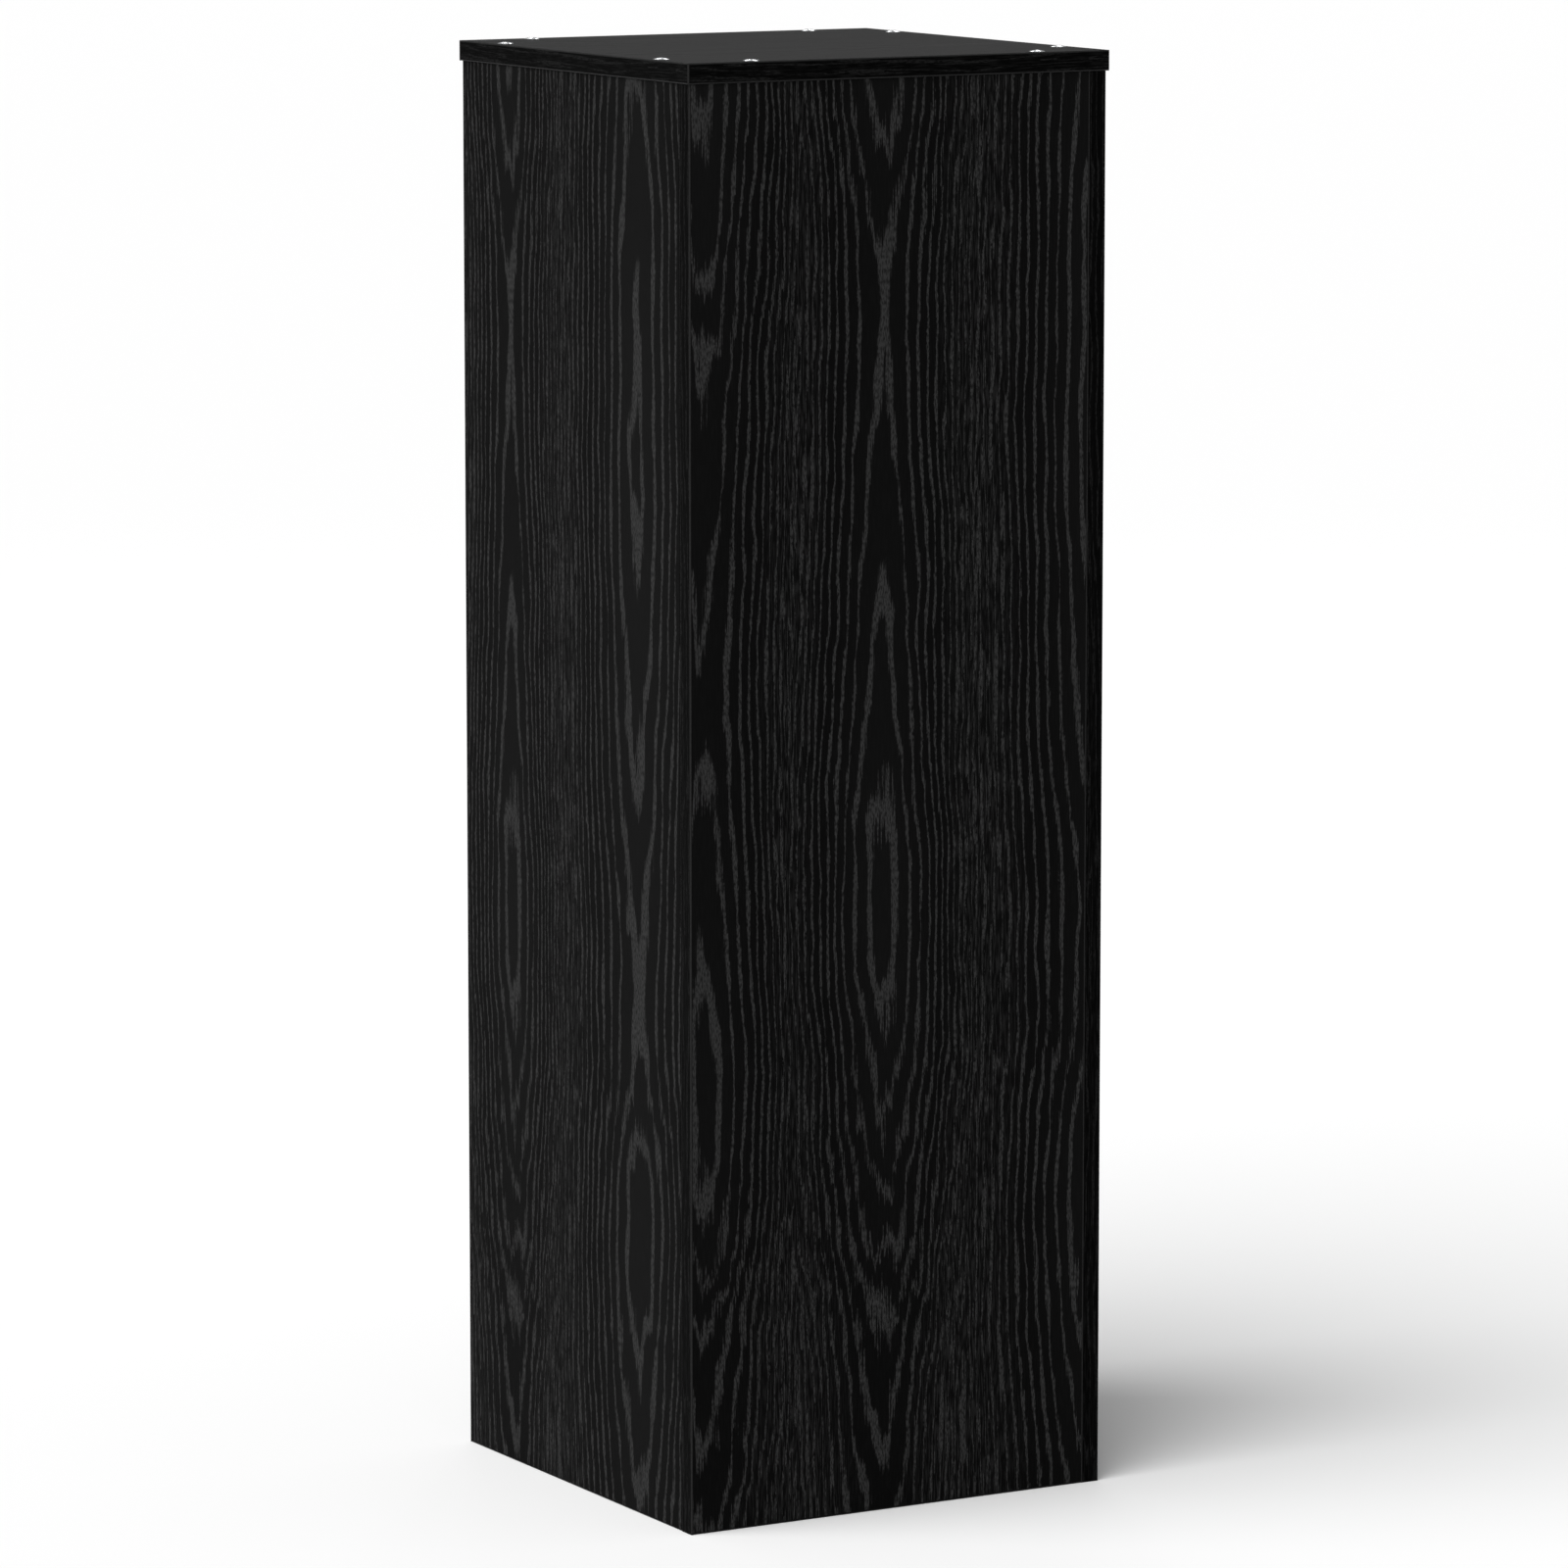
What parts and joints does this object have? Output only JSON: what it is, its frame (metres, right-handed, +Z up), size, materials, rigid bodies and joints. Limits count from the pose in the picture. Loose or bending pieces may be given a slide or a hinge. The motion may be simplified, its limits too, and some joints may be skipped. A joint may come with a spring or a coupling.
{
  "type": "display plinth",
  "caption": "Tall square display plinth: a hollow column of black oak-decor boards, open below, under a thin screwed-down top board.",
  "frame": {"origin": "centre of the footprint, on the floor", "axes": "+Z up to the top surface, -Y out of the front panel, -X out of the left panel"},
  "size_m": [0.28, 0.28, 0.8509],
  "materials": {
    "black_oak_board": "satin",
    "black_edge_band": "satin",
    "cast_zinc": "matte",
    "zinc_plated_steel": "gloss",
    "beech": "matte"
  },
  "bodies": {
    "root": {"front_panel": "black_oak_board", "right_panel": "black_oak_board", "back_panel": "black_oak_board", "left_panel": "black_oak_board", "front_end_band": "black_edge_band", "right_end_band": "black_edge_band", "back_end_band": "black_edge_band", "left_end_band": "black_edge_band", "front_foot_band": "black_edge_band", "right_foot_band": "black_edge_band", "back_foot_band": "black_edge_band", "left_foot_band": "black_edge_band", "top_board": "black_oak_board", "top_band_front": "black_edge_band", "top_band_right": "black_edge_band", "top_band_back": "black_edge_band", "top_band_left": "black_edge_band", "cam_locks_front": "cast_zinc", "cam_locks_right": "cast_zinc", "cam_locks_back": "cast_zinc", "cam_locks_left": "cast_zinc", "cam_bolts_front": "zinc_plated_steel", "cam_bolts_right": "zinc_plated_steel", "cam_bolts_back": "zinc_plated_steel", "cam_bolts_left": "zinc_plated_steel", "dowels_front": "beech", "dowels_right": "beech", "dowels_back": "beech", "dowels_left": "beech", "top_screws_front": "zinc_plated_steel", "top_screws_right": "zinc_plated_steel", "top_screws_back": "zinc_plated_steel", "top_screws_left": "zinc_plated_steel"}
  },
  "joints": []
}
